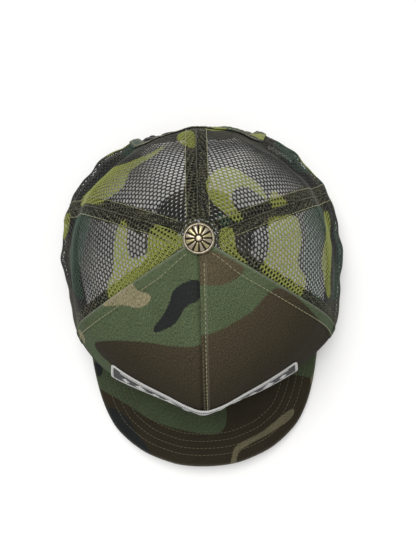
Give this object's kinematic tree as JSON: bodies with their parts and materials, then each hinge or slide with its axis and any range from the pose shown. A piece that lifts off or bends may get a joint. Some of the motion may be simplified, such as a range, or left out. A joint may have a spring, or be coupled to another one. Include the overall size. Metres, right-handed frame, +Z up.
{
  "type": "trucker cap",
  "caption": "Six-panel trucker cap with fabric front panels, net sides and back, a curved visor, a metal top button and a plastic snap closure over a rear opening.",
  "frame": {"origin": "centre of the cap's footprint, on the surface that its rim stands on", "axes": "+Z up through the crown, +Y towards the back opening, the visor points to -Y, +X is the side on the right seen from above with the visor down"},
  "size_m": [0.2072, 0.2503, 0.1311],
  "materials": {
    "camo_twill": "woven cotton twill, printed woodland pattern",
    "camo_mesh": "open polyester net, printed woodland pattern",
    "buckram": "stiffened plain weave",
    "seam_tape": "flat woven tape",
    "sweatband": "soft brushed cotton over foam",
    "visor_board": "moulded sheet",
    "snap_plastic": "moulded, satin",
    "antique_metal": "antiqued pale metal",
    "patch_field": "embroidered twill",
    "patch_thread": "overlocked rayon thread",
    "label_satin": "satin ribbon"
  },
  "bodies": {
    "crown": {"front_panel_left": "camo_twill", "front_panel_right": "camo_twill", "front_buckram_left": "buckram", "front_buckram_right": "buckram", "side_mesh_left": "camo_mesh", "side_mesh_right": "camo_mesh", "back_mesh_left": "camo_mesh", "back_mesh_right": "camo_mesh", "seam_tape_front": "seam_tape", "seam_tape_front_left": "seam_tape", "seam_tape_front_right": "seam_tape", "seam_tape_side_left": "seam_tape", "seam_tape_side_right": "seam_tape", "seam_tape_back": "seam_tape", "sweatband": "sweatband", "rear_arch_binding": "camo_mesh", "visor_board": "visor_board", "visor_top_cover": "camo_twill", "visor_under_cover": "camo_twill", "strap_tab_left": "snap_plastic", "strap_tab_right": "snap_plastic", "button_shell": "antique_metal", "button_post": "antique_metal", "button_backing": "antique_metal", "patch_field": "patch_field", "patch_border": "patch_thread", "inner_label": "label_satin"},
    "strap_left": {"strap_left_pegs": "snap_plastic"},
    "strap_right": {"strap_right_holes": "snap_plastic"}
  },
  "joints": [
    {"name": "strap_right_bend", "type": "hinge", "parent": "crown", "child": "strap_right", "pos_m": [0.04076, 0.12099, 0.0145], "axis": [0, 0, -1], "range_deg": [0, 80]},
    {"name": "strap_left_bend", "type": "hinge", "parent": "crown", "child": "strap_left", "pos_m": [-0.0404, 0.11832, 0.0145], "axis": [0, 0, -1], "range_deg": [0, 25]}
  ]
}
